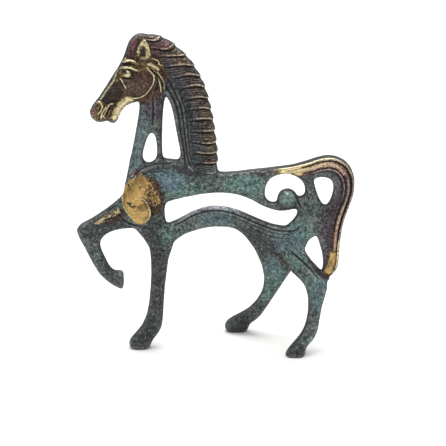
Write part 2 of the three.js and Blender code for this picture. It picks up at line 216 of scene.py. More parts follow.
# Carved lines. Places are [x, z] in the side view. The camera looks down on the face, so a line
# there really lies higher than it looks: lift is by how much.
# height is above the face (below when negative), and taper how far from its ends a line begins to run out.
# wrap carries it round the rim of the plate; stain is the finish that it shows, stainWidth wide.
# What a group leaves out is in usualLine.
usualLine = {"lift": 0, "height": 0.0, "width": 1.0, "taper": 2.5, "wrap": False}
carvedLines = {
    "faceRidges": {
        "lift": 2.85, "height": 0.55, "width": 1.6, "taper": 1.2,
        "stain": "brightGold", "amount": 0.72, "stainWidth": 1.15,
        "lines": [
            [[-34.5, 149.3], [-32.9, 146.6], [-31.3, 144.7], [-30.7, 142], [-31.4, 139.4],
             [-33.1, 136.7], [-35.1, 134.4], [-37.8, 132.9], [-41, 132.4], [-45, 133.2]],   # rim of the cheek
            [[-49.8, 144.4], [-51.4, 141], [-53.4, 138.4], [-55.4, 135.7], [-57.2, 133], [-58.6, 131]],
            [[-38.2, 155], [-38.6, 156.6], [-37.6, 159.4], [-35.2, 161.7], [-33.6, 159.8],
             [-33, 156.9], [-32.4, 153.6]],                                                 # leaf of the ear
        ],
    },
    "thinRidges": {
        "lift": 2.85, "height": 0.35, "width": 1.1, "taper": 1.2,
        "stain": "brightGold", "amount": 0.6, "stainWidth": 1.1,
        "lines": [
            [[-32.6, 153.2], [-30.4, 152.2], [-28.2, 151.1], [-28, 149.6], [-25.3, 148.8]],
            [[-48.4, 143], [-46.4, 140.6], [-44.8, 137]],
            [[-29.4, 146.2], [-27, 143], [-25.4, 139.4], [-25.6, 136]],    # tendons of the neck
            [[-31.4, 145.6], [-28.8, 142.4], [-27.4, 138.6], [-27.2, 134.6]],
            [[-58.9, 126.4], [-60.2, 127.6]],
        ],
    },
    "eyeRidges": {
        "lift": 3.0, "height": 0.65, "width": 1.5, "taper": 1.0,
        "stain": "brightGold", "amount": 0.9, "stainWidth": 1.3,
        "lines": [
            [[-50.2, 143.9], [-48.4, 146.7], [-46.3, 147.8], [-43.4, 148], [-40.7, 147.2], [-38.3, 146.2]],
            [[-47.2, 150.3], [-44.6, 151.3], [-42, 151.5], [-39.4, 150.7]],
            [[-46.7, 150.3], [-45.4, 151.4], [-44.3, 153]],
        ],
    },
    "muzzleRidges": {
        "lift": 2.6, "height": 0.5, "width": 1.4, "taper": 0.8,
        "stain": "brightGold", "amount": 0.8, "stainWidth": 1.2,
        "lines": [
            [[-62.8, 126.6], [-61.6, 129], [-58.9, 130.5], [-57.5, 129.1], [-57.5, 127], [-58.7, 125.3],
             [-60.1, 123.8]],                                                               # nostril
            [[-58.2, 121.6], [-57.4, 125], [-55.1, 128.3]],
            [[-57, 123], [-55.2, 126.3], [-53.8, 129.1], [-51.4, 129.8]],                   # lips
        ],
    },
    "strap": {
        "lift": 2.7, "height": 0.45, "width": 2.6, "taper": 0.8,
        "stain": "brightGold", "amount": 0.75, "stainWidth": 2.2,
        "lines": [[[-34, 150.2], [-32, 149.7], [-30.2, 148.6]], [[-30.2, 148.6], [-28, 146.8]]],
    },
    "jawBand": {
        "lift": 2.75, "height": 0.35, "width": 4.0, "taper": 1.5, "wrap": True,
        "stain": "brightGold", "amount": 0.85, "stainWidth": 6.4,
        "lines": [[[-42, 131.9], [-45.1, 131.1], [-47.8, 128.6], [-49.8, 125.3], [-51.8, 121.6]]],
    },
    "faceCreases": {
        "lift": 2.85, "height": -0.6, "width": 1.4,
        "stain": "creviceAndShade", "amount": 0.75, "stainWidth": 1.5,
        "lines": [
            [[-48.6, 143.4], [-46.4, 142.7], [-43, 142.6], [-40.5, 143.6]],                 # under the eye
            [[-51.8, 144], [-53.3, 141.4], [-55.4, 138.4], [-57.8, 135.2], [-60.4, 131.8]],
            [[-47.6, 149], [-44.6, 149.7], [-41.4, 149.6], [-38.6, 148.4]],
            [[-56.4, 121.8], [-55.4, 124.6], [-53.4, 127.6], [-51, 128]],
            [[-33.2, 148.2], [-31.4, 146], [-29.4, 143.6], [-28.8, 140.6], [-29.4, 138], [-31.2, 135.2]],
            [[-36.6, 156.6], [-36.3, 157.6], [-35.9, 156.4]],
        ],
    },
    "lockRidges": {
        "height": 0.55, "width": 1.6, "taper": 1.5, "wrap": True,
        "stain": "copper", "amount": 0.68, "stainWidth": 0.95,
        "lines": lockRidges(maneLocks["ridgeOffset"], 0.4, 1.03),
    },
    "lockTips": {
        "height": 0.1, "width": 0.8, "taper": 1.5, "wrap": True,
        "stain": "brightGold", "amount": 0.6, "stainWidth": 0.65,
        "lines": lockRidges(maneLocks["ridgeOffset"], 0.58, 1.03),
    },
    "lockHairs": {
        "height": 0.2, "width": 0.7, "wrap": True,
        "stain": "copper", "amount": 0.46, "stainWidth": 0.7,
        "lines": lockRidges(0.42, 0.62, 1.0) + lockRidges(0.66, 0.7, 1.0),
    },
    "lockStrands": {
        "height": -0.3, "width": 0.75, "wrap": True,
        "stain": "creviceAndShade", "amount": 0.5, "stainWidth": 0.8,
        "lines": lockStrands(),
    },
    "lockShadows": {
        "height": -0.5, "width": 1.4, "wrap": True,
        "stain": "creviceAndShade", "amount": 0.95, "stainWidth": 1.4,
        "lines": [lockLine(lock, -0.04, 0.1, 1.0) for lock in range(1, maneLocks["count"])],
    },
    "crestGrooves": {
        "height": -0.4, "width": 1.2,
        "stain": "creviceAndShade", "amount": 0.6, "stainWidth": 1.2,
        "lines": [bandLine(crestBand, 0.4, 0.12, 0.95), bandLine(crestBand, 0.7, 0.1, 0.95),
                  bandLine(crestBand, 0.97, 0.2, 0.97)],
    },
    "tailRidges": {
        "height": 0.5, "width": 2.0, "taper": 4,
        "stain": "copper", "amount": 0.3, "stainWidth": 1.5,
        "lines": [bandLine(tailBand, (0.15, 0.09), 0.05, 0.97), bandLine(tailBand, (0.6, 0.42), 0.08, 0.8),
                  bandLine(tailBand, 0.62, 0.84, 0.97), bandLine(tailBand, (0.97, 0.78), 0.16, 0.6)],
    },
    "tailShine": {
        "taper": 6, "stain": "copper", "amount": 0.6, "stainWidth": 0.9,
        "lines": [bandLine(tailBand, (0.12, 0.08), 0.3, 0.9), bandLine(tailBand, (0.53, 0.44), 0.3, 0.7),
                  bandLine(tailBand, (0.95, 0.78), 0.2, 0.55)],
    },
    "tailGilt": {
        "taper": 5, "stain": "brightGold", "amount": 0.8, "stainWidth": 1.35,
        "lines": [bandLine(tailBand, (0.15, 0.1), 0.12, 0.46), bandLine(tailBand, 0.5, 0.1, 0.3),
                  bandLine(tailBand, 0.12, 0.74, 0.95)],
    },
    "tailSheen": {
        "taper": 6, "stain": "copper", "amount": 0.9, "stainWidth": 2.4,
        "lines": [bandLine(tailBand, (0.63, 0.47), 0.1, 0.44), bandLine(tailBand, 0.45, 0.56, 0.83)],
    },
    "tailGlint": {
        "taper": 6, "stain": "brightGold", "amount": 0.5, "stainWidth": 2.2,
        "lines": [bandLine(tailBand, (0.6, 0.5), 0.12, 0.4)],
    },
    "tailGrooves": {
        "height": -0.5, "width": 1.1, "taper": 3,
        "stain": "creviceAndShade", "amount": 0.85, "stainWidth": 1.1,
        "lines": [bandLine(tailBand, (0.3, 0.22), 0.14, 0.74),
                  bandLine(tailBand, (0.86, 0.7), 0.14, 0.72), bandLine(tailBand, 0.02, 0.03, 0.5)],
    },
    "tailFineGrooves": {
        "height": -0.25, "width": 0.8,
        "stain": "creviceAndShade", "amount": 0.5, "stainWidth": 0.8,
        "lines": [bandLine(tailBand, 1.08, 0.3, 0.55), bandLine(tailBand, (0.22, 0.3), 0.72, 0.95),
                  bandLine(tailBand, (0.6, 0.5), 0.84, 0.95)],
    },
    # painted sheen: the top face of the belly band drawn pale, as if lit from above
    "bellyShelf": {
        "taper": 16, "wrap": True, "stain": "pale", "amount": 1.0, "stainWidth": 4.2,
        "lines": [bellyLine(0.3, -24.4, 20)],
    },
    "bellyGrooves": {
        "height": -0.5, "width": 1.5,
        "stain": "creviceAndShade", "amount": 0.8, "stainWidth": 1.5,
        "lines": [bellyLine(2.3, -23, 46)],
    },
    "fineGrooves": {
        "height": -0.28, "width": 1.0, "taper": 8,
        "stain": "creviceAndShade", "amount": 0.4, "stainWidth": 1.2,
        "lines": [bellyLine(4.1, 0, 45), bellyLine(6.2, 14, 44),
                  [[14, 66], [22, 60], [30, 53], [36, 48.5], [42, 44]],
                  [[19, 64], [27, 57.5], [34, 52]],
                  [[55.6, 79], [56.6, 74.6], [56, 69], [54.6, 64.6]],
                  [[46.4, 94], [47.6, 88], [49.6, 81], [52, 75.6]]],
    },
    "bodyGrooves": {
        "lift": 2.5, "height": -0.6, "width": 1.7, "taper": 5,
        "stain": "creviceAndShade", "amount": 0.75, "stainWidth": 1.5,
        "lines": [
            [[38.6, 52], [44, 47.6], [50, 42.2], [54, 38.2], [57, 35.6]],                   # thigh
            [[-49.8, 70.4], [-47.9, 68.1], [-45.5, 66.2], [-41.8, 64.5], [-37.7, 64.7]],
            [[-31.6, 134], [-31.4, 128], [-31.6, 120], [-31.6, 116]],    # front of the neck
            [[42.4, 80.6], [43.9, 77.4], [45.6, 74.6], [47.4, 73.4]],
            [[-60.4, 71], [-56, 72.6], [-50.6, 75.6]],                                      # raised forearm
            [[-61.6, 66.4], [-56, 68.2], [-51, 70]],
        ],
    },
    "goldCrack": {
        "lift": 2.8, "height": -0.3, "width": 1.1, "taper": 0.6,
        "stain": "creviceAndShade", "amount": 1.0, "stainWidth": 1.5,
        "lines": [[[-46, 76.8], [-44.6, 76.3], [-43.4, 74.8], [-40.8, 75.2]], [[-44.6, 76.4], [-43, 77]],
                  [[-45, 87], [-44.4, 85.6], [-43.4, 85.4]]],
    },
    "fringeStreaks": {
        "height": 0.12, "width": 1.0, "taper": 3,
        "stain": "gold", "amount": 0.85, "stainWidth": 1.2,
        "lines": brushStreaks(-42, 80.5, 6.4, 10.8, -18, 62, 15),
    },
    "fringePits": {
        "height": -0.12, "width": 0.8, "taper": 3,
        "stain": "flecks", "amount": 0.75, "stainWidth": 0.9,
        "lines": brushStreaks(-42, 80.5, 5.6, 9.8, -15, 65, 15),
    },
    "commaRim": {
        "height": 0.3, "width": 1.0, "taper": 2.0,
        "stain": "brightGold", "amount": 0.7, "stainWidth": 0.8,
        "lines": [[[-46, 89.4], [-47.9, 85.8], [-48.2, 81.6], [-47.3, 77.6], [-45.3, 73.8], [-42.7, 70.4]],
                  [[-44.6, 92.4], [-42.4, 94], [-40.6, 96]]],
    },
    "discRim": {
        "lift": 2.8, "height": 0.6, "width": 1.3, "taper": 1.5,
        "stain": "brightGold", "amount": 1.0, "stainWidth": 1.1,
        "lines": [[[-38.6, 79.8], [-35.9, 77.6], [-34.3, 74.6], [-33.8, 71.7], [-34.2, 69.2], [-36.1, 67],
                   [-38.5, 65.9]]],
    },
    "archGrooves": {
        "height": -0.3, "width": 1.0, "taper": 4,
        "stain": "creviceAndShade", "amount": 0.55, "stainWidth": 1.2,
        "lines": [[[-44, 90], [-41.6, 94.6], [-37.5, 97.8], [-31, 100], [-22, 100.6], [-16, 101.4]],
                  [[-39.4, 92.6], [-36.6, 95], [-31, 96.4], [-24, 96.6]]],
    },
    "archRidge": {
        "lift": 2.6, "height": 0.5, "width": 3.2, "taper": 4,
        "stain": "dark", "amount": 1.0, "stainWidth": 5.0,
        "lines": [[[-42, 90.4], [-39.6, 93], [-36, 95], [-30, 96.4], [-20, 96.6]]],
    },
    "bodyRidges": {
        "lift": 2.5, "height": 0.35, "width": 1.4,
        "stain": "pale", "amount": 0.5, "stainWidth": 1.4,
        "lines": [
            [[-43.4, 88.4], [-41.6, 90.8], [-40, 92.4]],
            [[44, 52], [49, 47.8], [54, 42.8], [58.4, 38.8]],
            [[-14.6, 98], [-12.4, 95.6], [-10, 93]],
            [[-50.6, 72], [-48.6, 70]],
            [[-47.4, 67.6], [-44.6, 65.6]],
        ],
    },
}

# Areas, [x, z] in the side view: a finish, or a form that is raised or sunk as a whole. Each fades out
# over its edge, and goes round the rim of the plate unless it is faceOnly.
headOutline = [[-66, 124], [-66, 132], [-56, 148], [-50, 160], [-46, 169], [-37, 170], [-32, 166],
               [-30, 158], [-26, 153], [-24, 147.6], [-27, 143], [-28, 138], [-32, 135], [-38, 132.6],
               [-44, 132.6], [-48, 128], [-49, 121], [-58, 119]]
areas = {
    "head": {"stain": "brown", "amount": 0.95, "edge": 3.0, "places": [headOutline]},
    "headProfile": {
        "stain": "dark", "amount": 0.9, "edge": 1.8,
        "places": [[[-67, 126], [-64.6, 133], [-57, 143], [-52, 153], [-49.4, 152.4], [-54.6, 141.6],
                    [-61.6, 131.6], [-64.4, 126]]],
    },
    "maneOuter": {
        "stain": "brown", "amount": 0.7, "edge": 4.0,
        "places": [bandArea(maneBand, (0.62, 1.1), 0.08)],
    },
    "maneTint": {
        "stain": "purple", "amount": 0.5, "edge": 3.0,
        "places": [bandArea(maneBand, (0.45, 0.85), 0.3, 0.82)],
    },
    "maneGilt": {
        "stain": "olive", "amount": 0.42, "edge": 2.5,
        "places": [bandArea(maneBand, (0.7, 1.05), 0.15, 0.46),
                   bandArea(maneBand, (0.6, 1.0), 0.74, 0.84)],
    },
    "cheek": {
        "stain": "red", "amount": 0.3, "edge": 5.0,
        "places": [[[-38, 150], [-35, 146], [-34, 142], [-36, 139], [-40, 139], [-41, 144]]],
    },
    "crown": {
        "stain": "purple", "amount": 0.75, "edge": 5.0,
        "places": [[[-46, 163], [-42, 168], [-32, 169], [-20, 163], [-24, 160], [-38, 163]],
                   [[-33, 136], [-28, 134], [-27, 126], [-33, 126]]],
    },
    "maneInner": {
        "stain": "dark", "amount": 0.9, "edge": 3.0,
        "places": [bandArea(maneBand, (-0.05, 0.4)), bandArea(crestBand, (0.1, 0.9), 0.1)],
    },
    "headGilt": {
        "stain": "olive", "amount": 0.62, "edge": 3.0,
        "places": [[[-52, 144], [-49.6, 149.4], [-40, 152.6], [-38, 150], [-46, 148]],
                   [[-38.6, 157], [-36, 165], [-33, 161], [-33.4, 156]],
                   [[-36.6, 152.4], [-30, 152], [-27, 149], [-31, 149]],
                   [[-60, 125], [-59, 132], [-54, 131], [-56, 125]]],
    },
    "ear": {
        "stain": "brightGold", "amount": 0.42, "edge": 1.2,
        "places": [[[-38.4, 157.4], [-38, 161], [-35.6, 164.4], [-33.6, 161], [-33.2, 157],
                    [-35.4, 155.4]]],
    },
    "earHollow": {
        "stain": "creviceAndShade", "amount": 0.8, "edge": 1.5, "height": -0.6,
        "places": [[[-37.2, 157], [-36.9, 160], [-35.9, 161.6], [-34.8, 160], [-35.3, 157]]],
    },
    "eyeCorner": {
        "stain": "creviceAndShade", "amount": 0.8, "edge": 1.0,
        "places": [roundPlaces(-41.6, 148.4, 0.4)],
    },
    "muzzle": {
        "stain": "copper", "amount": 0.28, "edge": 1.6,
        "places": [[[-64.4, 127], [-62.6, 131.4], [-60.4, 132], [-59.4, 128.6], [-61, 125]],
                   [[-58, 124], [-57.4, 127], [-56.4, 127], [-57, 123.6]]],
    },
    "noseHollow": {
        "stain": "creviceAndShade", "amount": 0.4, "edge": 2.5, "height": -0.55,
        "places": [[[-56.2, 134.6], [-53.8, 138.6], [-51, 142.4], [-48.6, 142.6], [-48, 138],
                    [-50.6, 134.6], [-54.6, 132.6]]],
    },
    "eyeball": {
        "stain": "brightGold", "amount": 1.0, "edge": 0.7, "height": 0.45,
        "places": [roundPlaces(-44.3, 147.9, 1.3)],
    },
    "pupil": {
        "stain": "creviceAndShade", "amount": 1.0, "edge": 0.6, "height": -0.3,
        "places": [roundPlaces(-45.2, 148.6, 0.6)],
    },
    "shoulder": {
        "stain": "gold", "amount": 1.0, "edge": 0.8,
        "places": [[[-45.4, 89], [-47.4, 85.6], [-47.8, 81.6], [-47, 77.6], [-45.2, 74.2], [-43, 71.2],
                    [-41, 69.2], [-38.6, 68.4], [-36.2, 69], [-34.4, 71.2], [-33.7, 74.6],
                    [-34.4, 78.6], [-36.2, 82.2], [-34.6, 85], [-35.6, 88], [-37.4, 91], [-40, 92.6],
                    [-43, 91.6]]],
    },
    "shoulderFringe": {
        "stain": "gold", "amount": 0.47, "edge": 3.4,
        "places": [[[-37, 83], [-32, 79], [-30, 80.4], [-31.6, 86], [-34.4, 91], [-38, 93]]],
    },
    "foreStrip": {
        "stain": "brightGold", "amount": 0.75, "edge": 0.9,
        "places": [[[-61.8, 68.8], [-55.9, 72.9], [-50.2, 76.3], [-50, 74.4], [-53.5, 72.1],
                    [-62, 68.2]]],
    },
    "forearm": {
        "stain": "brown", "amount": 0.6, "edge": 2.0,
        "places": [[[-64, 68], [-56, 72.8], [-48, 76], [-48, 72], [-56, 69]]],
    },
    "tailRoot": {
        "stain": "brightGold", "amount": 0.8, "edge": 5.0, "faceOnly": True,
        "places": [[[37, 96.6], [39, 97.4], [43, 97.8], [43, 96.8], [39, 96.2]]],
    },
    "rootGilt": {
        "stain": "olive", "amount": 0.75, "edge": 4.0,
        "places": [[[33, 97.6], [37, 98.4], [44, 99], [44, 96], [37, 95.4], [33, 95.6]]],
    },
    "rootTint": {
        "stain": "purple", "amount": 0.5, "edge": 4.0,
        "places": [[[19, 96], [26, 98], [31, 98.4], [31, 96], [23, 95]]],
    },
    "tail": {
        "stain": "purple", "amount": 0.8, "edge": 2.4,
        "places": [bandArea(tailBand, (-0.4, 1.0), 0.12)],
    },
    "tailWarm": {
        "stain": "brown", "amount": 0.7, "edge": 1.4,
        "places": [bandArea(tailBand, (0.1, 0.8), 0.1)],
    },
    "tailTop": {
        "stain": "copper", "amount": 0.64, "edge": 2.0,
        "places": [bandArea(tailBand, (0.45, 0.8), 0.14, 0.38)],
    },
    "tailTip": {
        "stain": "gold", "amount": 0.75, "edge": 1.6,
        "places": [bandArea(tailBand, (0.4, 0.68), 0.82, 0.96)],
    },
    "tipGilt": {
        "stain": "olive", "amount": 0.7, "edge": 1.6,
        "places": [bandArea(tailBand, (0.15, 0.8), 0.8, 0.96)],
    },
    "ball": {
        "stain": "verdigris", "amount": 0.4, "edge": 4.0, "height": 0.8,
        "places": [roundPlaces(38, 82, 3)],
    },
    # painted light on the top of the ball
    "ballTop": {"stain": "saltAndPaintedLight", "amount": 0.66, "edge": 3.2, "places": [roundPlaces(38, 86, 1.4)]},
    # painted shade on the lower half of the ball
    "ballShade": {
        "stain": "creviceAndShade", "amount": 0.35, "edge": 3.0,
        "places": [[[34.6, 80], [38, 78.8], [41.6, 80.4], [41.4, 78.6], [37, 77.4]]],
    },
    "greenBody": {
        "stain": "verdigris", "amount": 0.48, "edge": 9.0,
        "places": [[[6, 88], [10, 92], [28, 92], [27, 84], [12, 86]],
                   [[-22, 84], [-18, 88], [-8, 86], [-12, 84]],
                   [[43, 61], [43, 68], [48, 69], [48, 61]], [[24, 26], [28, 36], [34, 34], [30, 26]],
                   [[54, 40], [60, 45], [62, 42], [58, 38]],
                   [[-26, 64], [-24, 66], [-22, 66], [-24, 62]], [[40, 52], [48, 50], [46, 46]]],
    },
    "greenLight": {
        "stain": "verdigris", "amount": 0.75, "edge": 6.0,
        "places": [[[26, 33], [31, 42], [35, 40], [31, 32]], [[14, 88], [16, 91], [24, 91], [24, 87]],
                   [[58, 40], [61, 43], [62, 41]]],
    },
    "legSalt": {
        "stain": "saltAndPaintedLight", "amount": 0.36, "edge": 4.0,
        "places": [[[29, 36], [31, 41], [33, 40], [31, 36]]],
    },
    "pastern": {
        "stain": "verdigris", "amount": 0.7, "edge": 3.6,
        "places": [[[48.6, 4], [50, 9], [54.6, 10], [53, 4]], [[25, 24], [27, 28], [30, 27], [27, 22]]],
    },
    "blueBody": {
        "stain": "blue", "amount": 0.48, "edge": 5.0,
        "places": [[[-43, 100], [-41, 118], [-39, 132], [-35, 132], [-37, 116], [-40, 100]],
                   [[-6, 69], [-5, 73], [8, 73], [7, 69]], [[34, 54], [34, 62], [44, 66], [46, 56]],
                   [[51, 24], [53, 38], [58, 36], [56, 24]], [[27, 40], [30, 48], [36, 44], [33, 36]]],
    },
    "hooves": {
        "stain": "dark", "amount": 0.85, "edge": 4.5,
        "places": [[[-43, 1], [-40, 7], [-33, 9], [-33, 3]], [[5, 0], [9, 7], [17, 10], [16, 3]],
                   [[39, -1], [41, 3], [46, 3], [47, -1]]],
    },
    "bluePatch": {
        "stain": "blue", "amount": 0.82, "edge": 4.0,
        "places": [[[-29, 88], [-29, 94.6], [-22, 95.6], [-17, 92], [-20, 87]]],
    },
    "fringe": {
        "stain": "brown", "amount": 0.75, "edge": 3.4,
        "places": [[[-33, 91], [-30, 90], [-27.8, 82], [-29.4, 75.4], [-32, 73.6], [-33.4, 80]]],
    },
    "tailInner": {
        "stain": "purple", "amount": 0.56, "edge": 4.5,
        "places": [[[60, 84], [64, 88], [64, 70], [60, 54], [57, 58]]],
    },
    "legTints": {
        "stain": "purple", "amount": 0.42, "edge": 5.0,
        "places": [[[-37, 60], [-35, 60], [-33, 40], [-34, 24], [-36, 40]],
                   [[-48, 84], [-47, 100], [-45, 108]],
                   [[-38, 98], [-37, 108], [-36, 108], [-37, 98]]],
    },
    "flecks": {
        "stain": "flecks", "amount": 0.46, "edge": 5.5,
        "places": [[[-33, 92], [-30.6, 88], [-31, 80], [-33.4, 78], [-34.4, 84]],
                   [[-56, 71.4], [-52, 74], [-52, 73.6]]],
    },
    "goldFlecks": {
        "stain": "flecks", "amount": 0.2, "edge": 3.0,
        "places": [[[-41, 78], [-37, 78], [-36, 72], [-39, 71], [-42, 74]],
                   [[-51, 127], [-48, 131], [-44, 134], [-44, 133], [-48, 128]],
                   [[31, 98], [33, 98], [33, 95], [31, 95]], [[-40, 91], [-38, 88], [-42, 88]]],
    },
    "tailFlecks": {
        "stain": "flecks", "amount": 0.22, "edge": 1.6,
        "places": [bandArea(tailBand, (0.1, 0.75), 0.2, 0.97)],
    },
    "topLocks": {
        "stain": "red", "amount": 0.72, "edge": 3.5,
        "places": [[[-36, 164], [-26, 164.6], [-17, 158.6], [-19, 155], [-30, 159]],
                   [[-46, 160], [-43, 165.6], [-40, 165], [-43, 158]]],
    },
    "redSpots": {
        "stain": "red", "amount": 0.75, "edge": 1.4,
        "places": [[[-42.4, 94.6], [-41, 96.4], [-40, 95.6]],
                   [[-32, 78], [-30.6, 79.4], [-30.4, 77.4]]],
    },
    "haunchLight": {
        "stain": "pale", "amount": 0.3, "edge": 2.2,
        "places": [[[46, 64.5], [50, 68], [52.6, 71.4], [52.4, 69.4], [49, 65.6]]],
    },
    "thighBrown": {
        "stain": "brown", "amount": 0.42, "edge": 4.0,
        "places": [[[30, 52], [37, 45], [41, 43], [38, 47]]],
    },
    "dark": {
        "stain": "dark", "amount": 0.55, "edge": 11.0,
        "places": [[[-36, 8], [-34, 30], [-33, 50], [-29, 50], [-29, 20], [-31, 4], [-44, 0]],
                   [[4, 0], [8, 9], [20, 12], [20, 2]], [[38, -2], [40, 4], [46, 3], [47, -2]],
                   [[-58, 40], [-52, 37], [-52, 34], [-58, 37]],
                   # under the ball: painted shade on its lower side
                   [[34, 76], [42, 77], [43, 75], [36, 74]],
                   [[-66, 64], [-52, 70], [-46, 66], [-54, 65]],
                   [[16, 62], [22, 62], [30, 54], [24, 54]],
                   [[-38, 60], [-34, 66], [-28, 66], [-28, 60]]],
    },
}
# where the cast edges stay crisp while the rest is worn smooth
crispPlaces = [headOutline, bandArea(maneBand, (-0.1, 1.15)), bandArea(tailBand, (-0.15, 1.1), 0.15, 0.97),
               bandArea(crestBand, (0.1, 1.1)), [[-75, 60], [-75, 68], [-72, 68], [-71, 62]]]

castingForm = {
    "weld": 0.001,              # corners of the solid nearer than this are joined
    "voxel": 0.33,              # grain of the sculpted surface
    "softenTurns": 60,          # smoothing of the cast body
    "crisp": 0.86,              # how much of that the carved places are spared
    "crispEdge": 1.5,           # how far past them that fades out
    "fullness": 0.15,           # puts back what the smoothing takes off the outline
    "handwork": 0.3,            # waviness left by the modeller's tool
    "handworkGrain": 6.5, "handworkSeed": 1.7,
    "pitting": 0.05,            # roughness left by the sand of the mould
    "pittingGrain": 1.3, "pittingSeed": 8.3,
    "wearTurns": 16,            # smoothing that tells what stands proud of its surroundings
    "wearDepth": 0.2,
    "faceTurn": (0.2, 0.7),     # how squarely the surface looks sideways, where carving fades in
    "rimTurn": (0.35, 0.9),     # and where the darkening of the edges fades out: patina left there, and painted shade where the surface turns away
    "fewPlaces": 12,            # a line drawn with fewer places than this is smoothed
    "triangles": 192000,
}


# a flat helper in the middle plane: lines as edges, or areas as faces
# a line's ends leave the plane by its reach, so that what it carves runs out there
def strokeHelper(name, shapes, filled, lift=0.0, taper=0.0, reach=0.0):
    mesh = bpy.data.meshes.new(name)
    shape = bmesh.new()
    for places in shapes:
        run = [0.0]
        for a, b in zip(places, places[1:]):
            run.append(run[-1] + math.dist(a, b))
        verts = []
        for (x, z), far in zip(places, run):
            end = min(far, run[-1] - far)
            y = reach * max(0, 1 - end / taper) if taper else 0
            verts.append(shape.verts.new((x * mm, y * mm, (z + lift) * mm)))
        if filled:
            shape.faces.new(verts)
        else:
            for a, b in zip(verts, verts[1:]):
                shape.edges.new((a, b))
    shape.to_mesh(mesh)
    shape.free()
    helper = bpy.data.objects.new(name, mesh)
    scene.collection.objects.link(helper)
    return helper


def newTree(name, inputs):
    tree = bpy.data.node_groups.new(name, "GeometryNodeTree")
    tree.is_modifier = True
    tree.interface.new_socket("Geometry", in_out="INPUT", socket_type="NodeSocketGeometry")
    for label, kind in inputs.items():
        tree.interface.new_socket(label, in_out="INPUT", socket_type="NodeSocket" + kind)
    tree.interface.new_socket("Geometry", in_out="OUTPUT", socket_type="NodeSocketGeometry")
    return tree, addNode(tree, "NodeGroupInput").outputs


# every tree ends alike: real geometry, with the bronze on it
def endTree(tree, geometry):
    real = addNode(tree, "GeometryNodeRealizeInstances", None, {"Geometry": geometry})
    painted = addNode(tree, "GeometryNodeSetMaterial", None,
                      {"Geometry": real.outputs[0], "Material": bronze})
    addNode(tree, "NodeGroupOutput", None, {"Geometry": painted.outputs[0]})


def setInputs(modifier, values):
    for item in modifier.node_group.interface.items_tree:
        if item.item_type == "SOCKET" and item.in_out == "INPUT" and item.name in values:
            modifier[item.identifier] = values[item.name]


floatField = {"data_type": "FLOAT"}
pointField = {"data_type": "FLOAT", "domain": "POINT"}
smoothStep = {"interpolation_type": "SMOOTHSTEP"}


# raises or sinks the surface near the strokes of a helper and stains it there
def strokeTree(filled):
    tree, source = newTree("paintAreas" if filled else "carveLines", {
        "Strokes": "Object", "Height": "Float", "Reach": "Float", "Stain reach": "Float",
        "Stain": "String", "Amount": "Float", "Wrap": "Float"})
    strokes = addNode(tree, "GeometryNodeObjectInfo", {"transform_space": "RELATIVE"},
                      {"Object": source["Strokes"]})
    place = addNode(tree, "GeometryNodeInputPosition")
    apart = addNode(tree, "ShaderNodeSeparateXYZ", None, {0: place.outputs[0]})
    flat = addNode(tree, "ShaderNodeCombineXYZ", None, {"X": apart.outputs["X"], "Z": apart.outputs["Z"]})
    near = addNode(tree, "GeometryNodeProximity", {"target_element": "FACES" if filled else "EDGES"},
                   {"Geometry": strokes.outputs["Geometry"], "Sample Position": flat.outputs[0]})
    normal = addNode(tree, "GeometryNodeInputNormal")
    side = addNode(tree, "ShaderNodeSeparateXYZ", None, {0: normal.outputs[0]})
    facing = addNode(tree, "ShaderNodeMath", {"operation": "ABSOLUTE"}, {0: side.outputs["Y"]})
    low, high = castingForm["faceTurn"]
    onFace = addNode(tree, "ShaderNodeMapRange", smoothStep,
                     {"Value": facing.outputs[0], "From Min": low, "From Max": high})
    reachable = addNode(tree, "ShaderNodeMath", {"operation": "MAXIMUM"},
                        {0: onFace.outputs[0], 1: source["Wrap"]})

    # full at the stroke, nothing past its reach
    def fade(reach, top):
        faded = addNode(tree, "ShaderNodeMapRange", smoothStep, {
            "Value": near.outputs["Distance"], "From Min": 0.0, "From Max": reach,
            "To Min": 1.0, "To Max": 0.0})
        tall = addNode(tree, "ShaderNodeMath", {"operation": "MULTIPLY"}, {0: faded.outputs[0], 1: top})
        held = addNode(tree, "ShaderNodeMath", {"operation": "MULTIPLY"},
                       {0: tall.outputs[0], 1: reachable.outputs[0]})
        return held.outputs[0]

    before = addNode(tree, "GeometryNodeInputNamedAttribute", floatField, {"Name": "relief"})
    higher = addNode(tree, "ShaderNodeMath", {"operation": "ADD"},
                     {0: before.outputs[0], 1: fade(source["Reach"], source["Height"])})
    carved = addNode(tree, "GeometryNodeStoreNamedAttribute", pointField,
                     {"Geometry": source["Geometry"], "Name": "relief", "Value": higher.outputs[0]})
    stained = addNode(tree, "GeometryNodeInputNamedAttribute", floatField, {"Name": source["Stain"]})
    deeper = addNode(tree, "ShaderNodeMath", {"operation": "MAXIMUM"},
                     {0: stained.outputs[0], 1: fade(source["Stain reach"], source["Amount"])})
    done = addNode(tree, "GeometryNodeStoreNamedAttribute", pointField,
                   {"Geometry": carved.outputs[0], "Name": source["Stain"], "Value": deeper.outputs[0]})
    endTree(tree, done.outputs[0])
    return tree


# rubs the cast surface smooth, less where it is kept crisp
def softenTree():
    tree, source = newTree("softenCasting", {"Turns": "Int", "Crisp": "Float"})
    place = addNode(tree, "GeometryNodeInputPosition")
    crisp = addNode(tree, "GeometryNodeInputNamedAttribute", floatField, {"Name": "crisp"})
    spared = addNode(tree, "ShaderNodeMath", {"operation": "MULTIPLY"},
                     {0: crisp.outputs[0], 1: source["Crisp"]})
    worn = addNode(tree, "ShaderNodeMath", {"operation": "SUBTRACT"}, {0: 1.0, 1: spared.outputs[0]})
    blurred = addNode(tree, "GeometryNodeBlurAttribute", {"data_type": "FLOAT_VECTOR"},
                      {"Value": place.outputs[0], "Iterations": source["Turns"], "Weight": worn.outputs[0]})
    moved = addNode(tree, "GeometryNodeSetPosition", None,
                    {"Geometry": source["Geometry"], "Position": blurred.outputs[0]})
    endTree(tree, moved.outputs[0])
    return tree


